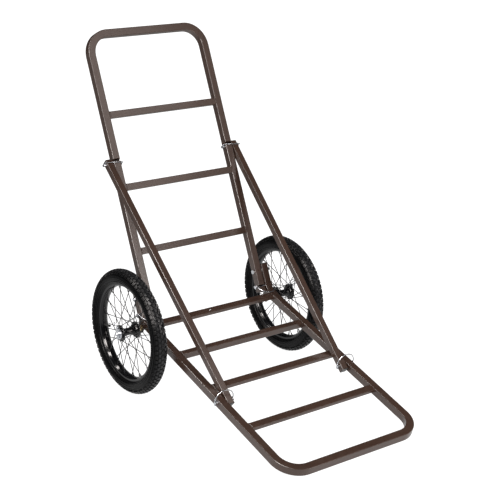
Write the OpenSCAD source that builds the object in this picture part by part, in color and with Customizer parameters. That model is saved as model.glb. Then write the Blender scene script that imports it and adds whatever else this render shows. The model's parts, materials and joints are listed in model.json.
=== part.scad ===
// Two-wheeled folding game cart: a sloping deck and a leaning handle, both bent from square
// steel tube, held open by two diagonal braces, six wire lock pins and two pivot bolts.
// Millimetres. +Z up, the nose points to -Y, the handle leans to +Y. The origin is on the
// ground under the middle of the cart.

/* [Wheels] */
// Outside diameter of each tyre
wheel_d = 405; // [395:1:420]
// Distance from the side of the deck to the middle of the tyre
wheel_out = 49; // [49:0.5:56]
// Number of spokes in each wheel
spoke_count = 36; // [24:12:36]
// Angle each spoke leans around the hub
spoke_cross = 50; // [30:1:60]

/* [Deck] */
// Width across the outside of the deck rails
deck_w = 526; // [480:1:580]
// Length of the deck from the bend at its rear to the nose
deck_len = 783; // [760:1:840]
// Height of the uprights above the bend, along the handle
upright_len = 90; // [86:1:110]

/* [Handle] */
// Length of the handle from the bend to its top bar
handle_len = 945; // [860:1:980]
// How far the handle leans back from vertical
handle_lean = 24.7; // [20:0.1:28]

/* [Frame tube] */
// Side of the square frame tube
tube = 25.4; // [25:0.1:26]
// Wall of the square frame tube
tube_wall = 1.6; // [1.2:0.1:2]
// Radius of the tube's long edges
edge_r = 2.4; // [2.1:0.1:3]
// Centre-line radius of the nose and handle corners
corner_bend = 70; // [60:1:90]
// Side of the square brace tube
brace_tube = 22.2; // [21.5:0.1:22.4]

/* [Lock pins] */
// Radius of each lock pin
lock_pin_r = 3.175; // [3:0.005:3.3]
// Radius of the lock pin's wire arch
wire_r = 1.6; // [1.2:0.1:1.8]

/* [Hidden] */
$fn = 48;

// Small overlap that lets a cutting shape pass clean through a face
cut = 1;
// Running clearance on the radius of every turning joint
running = 0.06;
// How far a straight tube runs into a bend, and how much slimmer it is on each side
join = 0.5;
join_slack = 0.01;
edge_fn = 24;
// How much more than a square offset the tube's inner corners are rounded
corner_thinning = 0.1;

frame_colour = [0.23, 0.16, 0.13];
zinc_colour = [0.80, 0.81, 0.80];
brass_zinc_colour = [0.78, 0.70, 0.48];
black_metal_colour = [0.06, 0.06, 0.07];
rubber_colour = [0.05, 0.05, 0.05];
plastic_colour = [0.08, 0.07, 0.07];

// Where the deck's top meets the handle's front: height over the axle and distance ahead of it
bend_over_axle = 30;
bend_ahead = 6.7;
wheel_r = wheel_d / 2;
bend_z = wheel_r + bend_over_axle;
// The deck slopes so that the lower edge of the nose just touches the ground
nose_run = deck_len - edge_r;
nose_drop = tube - edge_r;
deck_slope = asin((bend_z - edge_r) / norm([nose_run, nose_drop])) - atan2(nose_drop, nose_run);
front_y = -nose_run * cos(deck_slope) + edge_r * sin(deck_slope) - edge_r;
rear_y = (handle_len - edge_r) * sin(handle_lean) + nose_drop * cos(handle_lean) + edge_r;
bend_y = -(front_y + rear_y) / 2;
axle_y = bend_y + bend_ahead;
axle_z = wheel_r;

// Deck rails
rail_x = (deck_w - tube) / 2;
rail_inner = rail_x - tube / 2;
corner_out = corner_bend + tube / 2;
rear_bend = 45;
rear_turn = 90 - handle_lean - deck_slope;
rear_inner_r = rear_bend - tube / 2;
bend_run = rear_inner_r * tan(rear_turn / 2);

// Caps in the open tube ends: the lock pins pass just behind the leg and brace plugs
cap_flange = 2.2;
cap_fit = 0.1;
cap_wall = 2;
cap_corner = 1.2;
upright_plug = 12;
leg_plug = 8;
brace_plug = 4;

// Deck rungs: distance of each middle from the bend, then its width and height
rung_wide = 25.4;
rung_thin = 12.7;
rung_1_at = 29.3;
rung_2_at = 191.8;
rung_3_at = 370.6;
rung_4_at = 563.6;
rung_2_w = 19;
rung_2_h = 22.2;
rung_wall = 1.2;
rung_edge_r = 2;
rung_gap = 0.3;
rivet_x = -18.5;
rivet_head_r = 3.4;
rivet_head_h = 1.6;
rivet_r = 2;

// Handle legs run just inside the uprights
leg_gap = 3.9;
leg_x = rail_inner - leg_gap - tube / 2;
leg_inner = leg_x - tube / 2;
leg_outer = leg_x + tube / 2;
leg_end = -2;
handle_rung_h = 22.4;
handle_rung_d = 19;
handle_rung_1_at = 215;
handle_rung_2_at = 426;
handle_rung_3_at = 665;

// Pivot bolts and the lock pins at the foot and the middle of the handle
pivot_at = 69;
base_pin_at = 16;
top_pin_at = 507.5;
pivot_r = 4;
pivot_head_r = 7.5;
pivot_head_h = 4.5;
pivot_nut_r = 7.4;
pivot_nut_h = 6.5;
spacer_r = 9;
bolt_gap = 0.3;
nut_gap = 0.2;
spacer_gap = 0.05;

// Braces: outside the legs at the top, inside the rails at the bottom
brace_top_gap = 2.4;
brace_bottom_gap = 2.8;
brace_bottom_x = rail_inner - brace_bottom_gap - brace_tube / 2;
brace_top_x = leg_outer + brace_top_gap + brace_tube / 2;
brace_wall = 1.5;
brace_past_top = 11;
brace_past_bottom = 15;
bottom_pin_at = 430;
bottom_pin_down = 11;
// Both brace pins as [y, z] in the whole cart
bottom_pin = [bend_y - bottom_pin_at * cos(deck_slope) + bottom_pin_down * sin(deck_slope),
    bend_z - bottom_pin_at * sin(deck_slope) - bottom_pin_down * cos(deck_slope)];
top_pin = [bend_y + top_pin_at * sin(handle_lean) + tube / 2 * cos(handle_lean),
    bend_z + top_pin_at * cos(handle_lean) - tube / 2 * sin(handle_lean)];
base_pin = [bend_y + base_pin_at * sin(handle_lean) + tube / 2 * cos(handle_lean),
    bend_z + base_pin_at * cos(handle_lean) - tube / 2 * sin(handle_lean)];
brace_run = top_pin - bottom_pin;
brace_lean = atan2(brace_run[0], brace_run[1]);
brace_flat_len = norm(brace_run);
brace_slant = atan2(brace_top_x - brace_bottom_x, brace_flat_len);
brace_len = norm([brace_flat_len, brace_top_x - brace_bottom_x]);

// Lock pins: heads all point to -X
head_r = 6.5;
head_len = 9;
head_flat = 8.4;
head_seat = 0.3;
hole_r = lock_pin_r + running;
wire_gap = 0.2;
hook_gap = 0.5;
wire_side = head_flat / 2 + wire_r + wire_gap;
knuckle_r = wire_r + 0.03;
hook_r = lock_pin_r + hook_gap + wire_r;
tip_past_hook = 3;
hook_past = 6;
base_hook_past = 7;
// Each wire stands straight up from its pin and then arches: the top ones are low and flat
low_riser = 14;
low_arch = 17.5;
high_riser = 8;
high_arch = 39;
// Direction of each arch, measured from straight up towards the nose
top_arch_turn = 64;
bottom_arch_turn = 14;
base_arch_turn = 110;
// Way out of the handle leg for the top lock pin, measured from the leg towards its front
notch_turn = 49.4;
slot_r = lock_pin_r + 0.35;

// Axles
axle_r = 6;
hanger_t = 4;
hanger_inner_t = 3;
hanger_r = 15;
hanger_rise = 28;
axle_head_r = 9;
axle_head_h = 7;
axle_nut_r = 10.9;
axle_nut_h = 9;
washer_t = 2;
washer_inner_r = 11;
washer_outer_r = 18;
linch_from_hub = 7;
linch_r = 2.4;
linch_up = 21;
linch_down = 16;
linch_head_r = 4.2;
linch_ring_r = 11;
linch_ring_wire = 1.2;
linch_ring_lean = 25;
ring_gap = 1;
axle_past_linch = 6;

// Wheels
wheel_x = deck_w / 2 + wheel_out;
hub_half = 33;
flange_at = 28;
flange_r = 27;
flange_t = 3;
flange_root_r = 17;
barrel_r = 12;
hub_end_r = 16;
hub_bore_r = 8;
bearing_r = 13.5;
bearing_w = 10;
bearing_bore_r = axle_r + running;
rim_r = 160;
rim_half = 14.5;
rim_wall = 2;
rim_well_r = 149.5;
spoke_r = 1.2;
spoke_hole_r = 23.5;
spoke_skew = 1.7;
rim_spoke_side = 4;
nipple_r = 2.1;
nipple_len = 9;
valve_r = 3.6;
valve_cap_r = 4.2;
valve_len = 26;
valve_cap_len = 8;
valve_turn = 80;
casing_wall = 2.8;
tread_half = 25.2;
crown_half = 7.5;
tread_depth = 4;
tread_gap = 6;
tread_steps = 30;
casing_r = (wheel_r - tread_depth - rim_r + 6) / 2;
casing_mid = wheel_r - tread_depth - casing_r;
bead_w = 3.4;
bead_depth = 11;
// The inner tube lies between the tyre's beads
tube_clear = 5.5;
tube_air_r = casing_r - casing_wall - tube_clear;
air_tube_wall = 1;
// The valve's stem starts in the wall of the inner tube
valve_root = casing_mid - tube_air_r + air_tube_wall - rim_well_r;

// ---- Frames of reference ----

// Places children in the deck's own frame: Y runs back along the deck, Z is square to its top
module on_deck() {
    translate([0, bend_y, bend_z])
        rotate([deck_slope, 0, 0])
            children();
}

// Places children in the handle's own frame: Z runs up the handle, Y runs from front to back
module on_handle() {
    translate([0, bend_y, bend_z])
        rotate([-handle_lean, 0, 0])
            children();
}

// Places children on one brace: Z runs from the bottom pin to the top pin
module on_brace(side) {
    translate([side * brace_bottom_x, bottom_pin[0], bottom_pin[1]])
        rotate([-brace_lean, 0, 0])
            rotate([0, side * brace_slant, 0])
                children();
}

// Places children on one axle with X pointing away from the frame
module on_axle(side) {
    translate([0, axle_y, axle_z])
        mirror([side < 0 ? 1 : 0, 0, 0])
            children();
}

// Places children at the middle of one wheel with Z along the axle, away from the frame
module on_wheel(side) {
    on_axle(side)
        translate([wheel_x, 0, 0])
            rotate([0, 90, 0])
                children();
}

// A rod along X from one place to another
module cross_rod(from_x, to_x, r) {
    translate([from_x, 0, 0])
        rotate([0, 90, 0])
            cylinder(h = to_x - from_x, r = r);
}

// A rod between two points
module rod(from, to, r) {
    run = to - from;
    translate(from)
        rotate([0, acos(run[2] / norm(run)), atan2(run[1], run[0])])
            cylinder(h = norm(run), r = r, $fn = 16);
}

// ---- Tube sections ----

module rounded_box(w, h, r) {
    square([w - 2 * r, h], center = true);
    square([w, h - 2 * r], center = true);
    for (x = [-1, 1], y = [-1, 1])
        translate([x * (w / 2 - r), y * (h / 2 - r)])
            circle(r, $fn = edge_fn);
}

module tube_section(w, h, wall, r = edge_r) {
    difference() {
        rounded_box(w, h, r);
        rounded_box(w - 2 * wall, h - 2 * wall, r - wall + corner_thinning);
    }
}

module bend_section() {
    tube_section(tube, tube, tube_wall);
}

// Straight lengths are a hair slimmer than the bends and run into them, so they join cleanly
module straight_section() {
    slim = 2 * join_slack;
    tube_section(tube - slim, tube - slim, tube_wall - slim, edge_r - join_slack);
}

// Square plug that closes a tube's end: a flange outside and a shallow box inside
module end_cap(side, wall, plug) {
    inner = side - 2 * wall - 2 * cap_fit;
    linear_extrude(cap_flange)
        rounded_box(side, side, edge_r);
    translate([0, 0, -plug])
        linear_extrude(plug)
            difference() {
                rounded_box(inner, inner, cap_corner);
                square(inner - 2 * cap_wall, center = true);
            }
}

// ---- Deck ----

module deck_side(side) {
    rail_len = deck_len - corner_out - bend_run;
    translate([side * rail_x, join - bend_run, -tube / 2])
        rotate([90, 0, 0])
            linear_extrude(rail_len + 2 * join)
                straight_section();
    translate([side * (rail_x - corner_bend), -(deck_len - corner_out), -tube / 2])
        rotate([0, 0, side > 0 ? -90 : 180])
            rotate_extrude(angle = 90)
                translate([corner_bend, 0])
                    bend_section();
    translate([side * rail_x, -bend_run, rear_inner_r])
        rotate([0, 90, 0])
            rotate_extrude(angle = rear_turn)
                translate([rear_bend, 0])
                    bend_section();
}

module nose_bar() {
    translate([0, -(deck_len - tube / 2), -tube / 2])
        rotate([0, 90, 0])
            linear_extrude(2 * (rail_x - corner_bend + join), center = true)
                straight_section();
}

module upright(side) {
    translate([side * rail_x, tube / 2, bend_run - join])
        linear_extrude(upright_len - bend_run + join)
            straight_section();
}

module deck_rail_holes() {
    reach = deck_w / 2 + cut;
    on_handle() {
        translate([0, tube / 2, pivot_at])
            cross_rod(-reach, reach, pivot_r + running);
        translate([0, tube / 2, base_pin_at])
            cross_rod(-reach, reach, hole_r);
    }
    translate([0, bottom_pin[0], bottom_pin[1]])
        cross_rod(-reach, reach, hole_r);
}

module deck_rail() {
    color(frame_colour)
        difference() {
            union() {
                for (side = [-1, 1]) {
                    on_deck()
                        deck_side(side);
                    on_handle()
                        upright(side);
                }
                on_deck()
                    nose_bar();
            }
            deck_rail_holes();
        }
}

module deck_rung(at, w, h) {
    on_deck()
        translate([0, -at, -h / 2])
            rotate([0, 90, 0])
                linear_extrude(2 * rail_inner, center = true)
                    tube_section(h, w, rung_wall, rung_edge_r);
}

module deck_rung_1() {
    color(frame_colour)
        difference() {
            deck_rung(rung_1_at, rung_wide, rung_thin);
            on_deck()
                translate([rivet_x, -rung_1_at, -rung_thin / 2])
                    cylinder(h = rung_thin, r = rivet_r + running);
        }
}

module deck_rung_2() {
    color(frame_colour)
        deck_rung(rung_2_at, rung_2_w, rung_2_h);
}

module deck_rung_3() {
    color(frame_colour)
        deck_rung(rung_3_at, rung_wide, rung_thin);
}

module deck_rung_4() {
    color(frame_colour)
        deck_rung(rung_4_at, rung_wide, rung_thin);
}

// Small domed rivet in the top of the first rung
module rung_rivet() {
    dome_r = (rivet_head_r * rivet_head_r + rivet_head_h * rivet_head_h) / (2 * rivet_head_h);
    shank = 5;
    color(zinc_colour)
        on_deck()
            translate([rivet_x, -rung_1_at, 0]) {
                intersection() {
                    translate([0, 0, rivet_head_h - dome_r])
                        sphere(dome_r);
                    cylinder(h = rivet_head_h, r = rivet_head_r);
                }
                translate([0, 0, -shank])
                    cylinder(h = shank, r = rivet_r);
            }
}

module upright_caps() {
    color(plastic_colour)
        for (side = [-1, 1])
            on_handle()
                translate([side * rail_x, tube / 2, upright_len])
                    end_cap(tube, tube_wall, upright_plug);
}

// ---- Axles ----

module hanger_plate(from_x, thickness) {
    tilt = atan2(bend_run + bend_ahead, bend_over_axle + rear_inner_r);
    difference() {
        rotate([tilt, 0, 0]) {
            cross_rod(from_x, from_x + thickness, hanger_r);
            translate([from_x, -hanger_r, 0])
                cube([thickness, 2 * hanger_r, hanger_rise]);
        }
        cross_rod(from_x - cut, from_x + thickness + cut, axle_r + running);
    }
}

// Two plates on the sides of the rear bend carry the stub axle under it; the inner one is cut
// back where the end of the first rung stands
module axle_hanger(side) {
    color(frame_colour)
        difference() {
            on_axle(side) {
                hanger_plate(deck_w / 2, hanger_t);
                hanger_plate(rail_inner - hanger_inner_t, hanger_inner_t);
            }
            on_deck()
                translate([0, -rung_1_at, -rung_thin / 2])
                    cube([2 * rail_inner, rung_wide + 2 * rung_gap, rung_thin + 2 * rung_gap],
                        center = true);
        }
}

module axle_hanger_left() {
    axle_hanger(-1);
}

module axle_hanger_right() {
    axle_hanger(1);
}

linch_x = wheel_x + hub_half + linch_from_hub;
axle_end_x = linch_x + axle_past_linch;
axle_head_x = rail_inner - hanger_inner_t - axle_head_h;

module axle(side) {
    bevel = 1.2;
    color(zinc_colour)
        on_axle(side)
            difference() {
                union() {
                    cross_rod(axle_head_x, axle_head_x + axle_head_h, axle_head_r);
                    cross_rod(axle_head_x, axle_end_x - bevel, axle_r);
                    translate([axle_end_x - bevel, 0, 0])
                        rotate([0, 90, 0])
                            cylinder(h = bevel, r1 = axle_r, r2 = axle_r - bevel);
                }
                translate([linch_x, 0, -axle_r - cut])
                    cylinder(h = 2 * (axle_r + cut), r = linch_r + running);
            }
}

module axle_left() {
    axle(-1);
}

module axle_right() {
    axle(1);
}

module axle_nuts() {
    color(brass_zinc_colour)
        for (side = [-1, 1])
            on_axle(side)
                translate([deck_w / 2 + hanger_t, 0, 0])
                    rotate([0, 90, 0])
                        difference() {
                            cylinder(h = axle_nut_h, r = axle_nut_r, $fn = 6);
                            translate([0, 0, -cut])
                                cylinder(h = axle_nut_h + 2 * cut, r = axle_r + running);
                        }
}

module axle_washer(from_x, r) {
    difference() {
        cross_rod(from_x, from_x + washer_t, r);
        cross_rod(from_x - cut, from_x + washer_t + cut, axle_r + running);
    }
}

module axle_washers() {
    end_gap = 0.5;
    color(zinc_colour)
        for (side = [-1, 1])
            on_axle(side) {
                axle_washer(wheel_x - hub_half - end_gap - washer_t, washer_inner_r);
                axle_washer(wheel_x + hub_half + end_gap, washer_outer_r);
            }
}

// Pin through the axle's end, with a head that holds the ring
module linch_pins() {
    head_half = 4;
    ring_hole_r = linch_ring_wire + ring_gap;
    color(zinc_colour)
        for (side = [-1, 1])
            on_axle(side)
                translate([linch_x, 0, 0])
                    difference() {
                        union() {
                            translate([0, 0, -linch_down])
                                cylinder(h = linch_down + linch_up, r = linch_r);
                            translate([0, 0, linch_up - head_half])
                                cylinder(h = 2 * head_half, r = linch_head_r);
                        }
                        translate([0, 0, linch_up])
                            rotate([90, 0, 0])
                                cylinder(h = 4 * linch_head_r, r = ring_hole_r, center = true);
                    }
}

// Wire pull ring in the linch pin's head, standing up and leaning away from the wheel
module linch_ring(side) {
    color(zinc_colour)
        on_axle(side)
            translate([linch_x, 0, linch_up])
                rotate([0, linch_ring_lean, 0])
                    translate([0, 0, linch_ring_r])
                        rotate([0, 90, 0])
                            rotate_extrude()
                                translate([linch_ring_r, 0])
                                    circle(linch_ring_wire, $fn = 16);
}

module linch_ring_left() {
    linch_ring(-1);
}

module linch_ring_right() {
    linch_ring(1);
}

// ---- Pivot bolts ----

module on_pivot(side) {
    on_handle()
        translate([0, tube / 2, pivot_at])
            mirror([side < 0 ? 1 : 0, 0, 0])
                children();
}

module pivot_bolts() {
    bolt_past = 9;
    head_x = leg_inner - bolt_gap;
    color(zinc_colour)
        for (side = [-1, 1])
            on_pivot(side) {
                cross_rod(head_x, deck_w / 2 + bolt_past, pivot_r);
                translate([head_x - pivot_head_h, 0, 0])
                    rotate([0, 90, 0])
                        cylinder(h = pivot_head_h, r = pivot_head_r, $fn = 6);
            }
}

module pivot_nuts() {
    color(zinc_colour)
        for (side = [-1, 1])
            on_pivot(side)
                translate([deck_w / 2 + nut_gap, 0, 0])
                    rotate([0, 90, 0])
                        difference() {
                            cylinder(h = pivot_nut_h, r = pivot_nut_r, $fn = 6);
                            translate([0, 0, -cut])
                                cylinder(h = pivot_nut_h + 2 * cut, r = pivot_r + running);
                        }
}

module pivot_spacers() {
    color(zinc_colour)
        for (side = [-1, 1])
            on_pivot(side)
                difference() {
                    cross_rod(leg_outer + bolt_gap, rail_inner - spacer_gap, spacer_r);
                    cross_rod(leg_outer - cut, rail_inner + cut, pivot_r + running);
                }
}

// ---- Wire lock pins ----

// Places children at a lock pin's head: X runs along the pin, Z towards the top of its arch
module at_lock_pin(head_x, pin, arch_turn) {
    translate([head_x, pin[0], pin[1]])
        rotate([arch_turn, 0, 0])
            children();
}

// Head with two flats and a cross hole, then the shank with a pointed end
module lock_pin_shape(span) {
    point = 2;
    shank_end = span + tip_past_hook;
    difference() {
        union() {
            intersection() {
                cross_rod(-head_len / 2, head_len / 2, head_r);
                cube([head_len, head_flat, 2 * head_r], center = true);
            }
            cross_rod(0, shank_end - point, lock_pin_r);
            translate([shank_end - point, 0, 0])
                rotate([0, 90, 0])
                    cylinder(h = point, r1 = lock_pin_r, r2 = lock_pin_r - point / 2);
        }
        rotate([90, 0, 0])
            cylinder(h = head_flat + cut, r = wire_r + running, center = true);
    }
}

// Round wire: turns in the head's cross hole, arches over the tubes and hooks over the pin's end
module bail_shape(span, riser, height) {
    rise = height - riser;
    reach = norm([span, wire_side]);
    arch_r = (reach * reach / 4 + rise * rise) / (2 * rise);
    half_turn = acos((arch_r - rise) / arch_r);
    rotate([90, 0, 0])
        translate([0, 0, -wire_side])
            cylinder(h = wire_side + head_flat / 2, r = wire_r, $fn = 16);
    translate([0, wire_side, 0]) {
        sphere(knuckle_r, $fn = 24);
        cylinder(h = riser, r = wire_r, $fn = 16);
        translate([0, 0, riser])
            rotate([0, 0, -atan2(wire_side, span)])
                translate([reach / 2, 0, rise - arch_r])
                    rotate([90, 0, 0])
                        rotate([0, 0, 90 - half_turn])
                            rotate_extrude(angle = 2 * half_turn)
                                translate([arch_r, 0])
                                    circle(wire_r, $fn = 16);
        translate([0, 0, riser])
            sphere(knuckle_r, $fn = 24);
    }
    translate([span, 0, riser])
        sphere(knuckle_r, $fn = 24);
    translate([span, 0, hook_r])
        cylinder(h = riser - hook_r, r = wire_r, $fn = 16);
    translate([span, 0, 0])
        rotate([0, -90, 0])
            rotate([0, 0, -90])
                rotate_extrude(angle = 180)
                    translate([hook_r, 0])
                        circle(wire_r, $fn = 16);
}

brace_half = brace_tube / 2;
head_back = head_len / 2 + head_seat;
top_span = brace_top_x + brace_half - leg_inner + head_back + hook_past;
bottom_span = deck_w / 2 - brace_bottom_x + brace_half + head_back + hook_past;
base_span = deck_w / 2 - leg_inner + head_back + base_hook_past;
top_left_x = -(brace_top_x + brace_half) - head_back;
top_right_x = leg_inner - head_back;
bottom_left_x = -deck_w / 2 - head_back;
bottom_right_x = brace_bottom_x - brace_half - head_back;
base_left_x = -deck_w / 2 - head_back;
base_right_x = leg_inner - head_back;

module lock_pin_base_left() {
    color(zinc_colour)
        at_lock_pin(base_left_x, base_pin, base_arch_turn)
            lock_pin_shape(base_span);
}

module lock_pin_base_right() {
    color(zinc_colour)
        at_lock_pin(base_right_x, base_pin, base_arch_turn)
            lock_pin_shape(base_span);
}

module lock_pin_top_left() {
    color(zinc_colour)
        at_lock_pin(top_left_x, top_pin, top_arch_turn)
            lock_pin_shape(top_span);
}

module lock_pin_top_right() {
    color(zinc_colour)
        at_lock_pin(top_right_x, top_pin, top_arch_turn)
            lock_pin_shape(top_span);
}

module lock_pin_bottom_left() {
    color(zinc_colour)
        at_lock_pin(bottom_left_x, bottom_pin, bottom_arch_turn)
            lock_pin_shape(bottom_span);
}

module lock_pin_bottom_right() {
    color(zinc_colour)
        at_lock_pin(bottom_right_x, bottom_pin, bottom_arch_turn)
            lock_pin_shape(bottom_span);
}

module bail_base_left() {
    color(zinc_colour)
        at_lock_pin(base_left_x, base_pin, base_arch_turn)
            bail_shape(base_span, high_riser, high_arch);
}

module bail_base_right() {
    color(zinc_colour)
        at_lock_pin(base_right_x, base_pin, base_arch_turn)
            bail_shape(base_span, high_riser, high_arch);
}

module bail_top_left() {
    color(zinc_colour)
        at_lock_pin(top_left_x, top_pin, top_arch_turn)
            bail_shape(top_span, low_riser, low_arch);
}

module bail_top_right() {
    color(zinc_colour)
        at_lock_pin(top_right_x, top_pin, top_arch_turn)
            bail_shape(top_span, low_riser, low_arch);
}

module bail_bottom_left() {
    color(zinc_colour)
        at_lock_pin(bottom_left_x, bottom_pin, bottom_arch_turn)
            bail_shape(bottom_span, high_riser, high_arch);
}

module bail_bottom_right() {
    color(zinc_colour)
        at_lock_pin(bottom_right_x, bottom_pin, bottom_arch_turn)
            bail_shape(bottom_span, high_riser, high_arch);
}

// ---- Handle ----

module handle_side(side) {
    leg_len = handle_len - corner_out - leg_end;
    translate([side * leg_x, tube / 2, leg_end])
        linear_extrude(leg_len + join)
            straight_section();
    translate([side * (leg_x - corner_bend), tube / 2, handle_len - corner_out])
        rotate([90, 0, 0])
            rotate([0, 0, side > 0 ? 0 : 90])
                rotate_extrude(angle = 90)
                    translate([corner_bend, 0])
                        bend_section();
}

module handle_bar() {
    translate([0, tube / 2, handle_len - tube / 2])
        rotate([0, 90, 0])
            linear_extrude(2 * (leg_x - corner_bend + join), center = true)
                straight_section();
}

// Slot that lets the top lock pins leave the legs forwards as the braces swing down
module top_notch() {
    reach = leg_outer + cut;
    slot_len = tube;
    translate([0, tube / 2, top_pin_at]) {
        cross_rod(-reach, reach, slot_r);
        rotate([notch_turn - 90, 0, 0])
            mirror([0, 1, 0])
                translate([-reach, 0, -slot_r])
                    cube([2 * reach, slot_len, 2 * slot_r]);
    }
}

// Slot around the pivot bolts that lets the base lock pins leave the legs forwards
module base_notch() {
    reach = leg_outer + cut;
    drop = pivot_at - base_pin_at;
    translate([0, tube / 2, base_pin_at])
        cross_rod(-reach, reach, slot_r);
    intersection() {
        translate([0, tube / 2, pivot_at])
            difference() {
                cross_rod(-reach, reach, drop + slot_r);
                cross_rod(-reach - cut, reach + cut, drop - slot_r);
            }
        translate([-reach, -tube / 2, 0])
            cube([2 * reach, tube, pivot_at]);
    }
}

module handle_tube() {
    reach = leg_outer + cut;
    color(frame_colour)
        on_handle()
            difference() {
                union() {
                    handle_bar();
                    for (side = [-1, 1])
                        handle_side(side);
                }
                translate([0, tube / 2, pivot_at])
                    cross_rod(-reach, reach, pivot_r + running);
                top_notch();
                base_notch();
            }
}

module handle_rung(at) {
    color(frame_colour)
        on_handle()
            translate([0, handle_rung_d / 2, at])
                rotate([0, 90, 0])
                    linear_extrude(2 * leg_inner, center = true)
                        tube_section(handle_rung_h, handle_rung_d, rung_wall, rung_edge_r);
}

module handle_rung_1() {
    handle_rung(handle_rung_1_at);
}

module handle_rung_2() {
    handle_rung(handle_rung_2_at);
}

module handle_rung_3() {
    handle_rung(handle_rung_3_at);
}

module leg_caps() {
    color(plastic_colour)
        on_handle()
            for (side = [-1, 1])
                translate([side * leg_x, tube / 2, leg_end])
                    mirror([0, 0, 1])
                        end_cap(tube, tube_wall, leg_plug);
}

// ---- Braces ----

module brace(side) {
    color(frame_colour)
        difference() {
            on_brace(side)
                translate([0, 0, -brace_past_bottom])
                    linear_extrude(brace_len + brace_past_bottom + brace_past_top)
                        tube_section(brace_tube, brace_tube, brace_wall);
            for (pin = [bottom_pin, top_pin])
                translate([0, pin[0], pin[1]])
                    cross_rod(-deck_w, deck_w, hole_r);
        }
}

module brace_left() {
    brace(-1);
}

module brace_right() {
    brace(1);
}

module brace_caps(side) {
    color(plastic_colour)
        on_brace(side) {
            translate([0, 0, brace_len + brace_past_top])
                end_cap(brace_tube, brace_wall, brace_plug);
            translate([0, 0, -brace_past_bottom])
                mirror([0, 0, 1])
                    end_cap(brace_tube, brace_wall, brace_plug);
        }
}

module brace_caps_left() {
    brace_caps(-1);
}

module brace_caps_right() {
    brace_caps(1);
}

// ---- Wheels ----

// The tyre's section: a round casing open towards the rim, and two beads that sit in the rim
module tyre_section() {
    difference() {
        translate([casing_mid, 0])
            circle(casing_r);
        translate([casing_mid, 0])
            circle(casing_r - casing_wall);
        translate([0, -wheel_r])
            square([rim_r + 0.4, 2 * wheel_r]);
    }
    for (side = [-1, 1])
        translate([rim_r - 6, side * (rim_half - rim_wall - 0.3 - bead_w / 2) - bead_w / 2])
            square([bead_depth, bead_w]);
}

// Section of one tread block on the crown of the tyre
module crown_block_section() {
    root = 2;
    translate([wheel_r - tread_depth - root, -crown_half])
        square([tread_depth + root, 2 * crown_half]);
}

// Section of one tread block on the shoulder, bevelled to follow the round casing
module shoulder_block_section() {
    side_foot = 8;
    crown_foot = 15;
    bevel = 6;
    polygon([
        [casing_mid + side_foot, tread_half], [wheel_r - 1.5 * bevel, tread_half],
        [wheel_r - bevel / 2, tread_half - bevel], [wheel_r - 1, crown_half + tread_gap],
        [casing_mid + crown_foot, crown_half + tread_gap]]);
}

module tread_row(start) {
    step = 360 / tread_steps;
    block_angle = step - tread_gap / (PI * wheel_d) * 360;
    for (i = [0:tread_steps - 1])
        rotate([0, 0, (i + start) * step])
            rotate_extrude(angle = block_angle)
                children();
}

module tyre(side) {
    color(rubber_colour)
        on_wheel(side) {
            rotate_extrude()
                tyre_section();
            tread_row(0)
                crown_block_section();
            tread_row(0.5)
                shoulder_block_section();
            mirror([0, 0, 1])
                tread_row(0.5)
                    shoulder_block_section();
        }
}

module tyre_left() {
    tyre(-1);
}

module tyre_right() {
    tyre(1);
}

module inner_tube(side) {
    color(plastic_colour)
        on_wheel(side)
            rotate_extrude()
                translate([casing_mid, 0])
                    difference() {
                        circle(tube_air_r);
                        circle(tube_air_r - air_tube_wall);
                    }
}

module inner_tube_left() {
    inner_tube(-1);
}

module inner_tube_right() {
    inner_tube(1);
}

// Bent sheet rim: two lips, two bead seats and a well between them
module rim_section() {
    seat_r = rim_r - 6.5;
    well_half = 6;
    seat_half = rim_half - rim_wall;
    polygon([
        [rim_r, rim_half], [rim_r, seat_half], [seat_r, seat_half], [seat_r - 1, well_half + 2],
        [rim_well_r, well_half], [rim_well_r, -well_half], [seat_r - 1, -well_half - 2],
        [seat_r, -seat_half], [rim_r, -seat_half], [rim_r, -rim_half],
        [seat_r - rim_wall, -rim_half], [rim_well_r - rim_wall, -well_half - 1],
        [rim_well_r - rim_wall, well_half + 1], [seat_r - rim_wall, rim_half]]);
}

module rim(side) {
    color(black_metal_colour)
        on_wheel(side)
            difference() {
                rotate_extrude()
                    rim_section();
                rotate([0, 0, valve_turn])
                    translate([rim_well_r - 2 * rim_wall, 0, 0])
                        rotate([0, 90, 0])
                            cylinder(h = 4 * rim_wall, r = valve_r + running);
            }
}

module rim_left() {
    rim(-1);
}

module rim_right() {
    rim(1);
}

// Both ends of one spoke: odd ones lean forwards, even ones back, on alternating flanges
function spoke_flange(i) = i % 2 == 0 ? 1 : -1;
function spoke_lean(i) = floor(i / 2) % 2 == 0 ? 1 : -1;
function spoke_turn(i) = (i + 0.5) * 360 / spoke_count;
function spoke_inner(i) = let (a = spoke_turn(i) + spoke_lean(i) * spoke_cross) [
    spoke_hole_r * cos(a), spoke_hole_r * sin(a),
    spoke_flange(i) * flange_at + spoke_lean(i) * spoke_skew];
function spoke_outer(i) = let (a = spoke_turn(i), r = rim_well_r - rim_wall / 2) [
    r * cos(a), r * sin(a), spoke_flange(i) * rim_spoke_side + spoke_lean(i) * spoke_skew];

module spokes(side) {
    color(black_metal_colour)
        on_wheel(side)
            for (i = [0:spoke_count - 1])
                rod(spoke_inner(i), spoke_outer(i), spoke_r);
}

module spokes_left() {
    spokes(-1);
}

module spokes_right() {
    spokes(1);
}

module nipples(side) {
    color(black_metal_colour)
        on_wheel(side)
            for (i = [0:spoke_count - 1]) {
                run = spoke_inner(i) - spoke_outer(i);
                rod(spoke_outer(i), spoke_outer(i) + run * nipple_len / norm(run), nipple_r);
            }
}

module nipples_left() {
    nipples(-1);
}

module nipples_right() {
    nipples(1);
}

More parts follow.
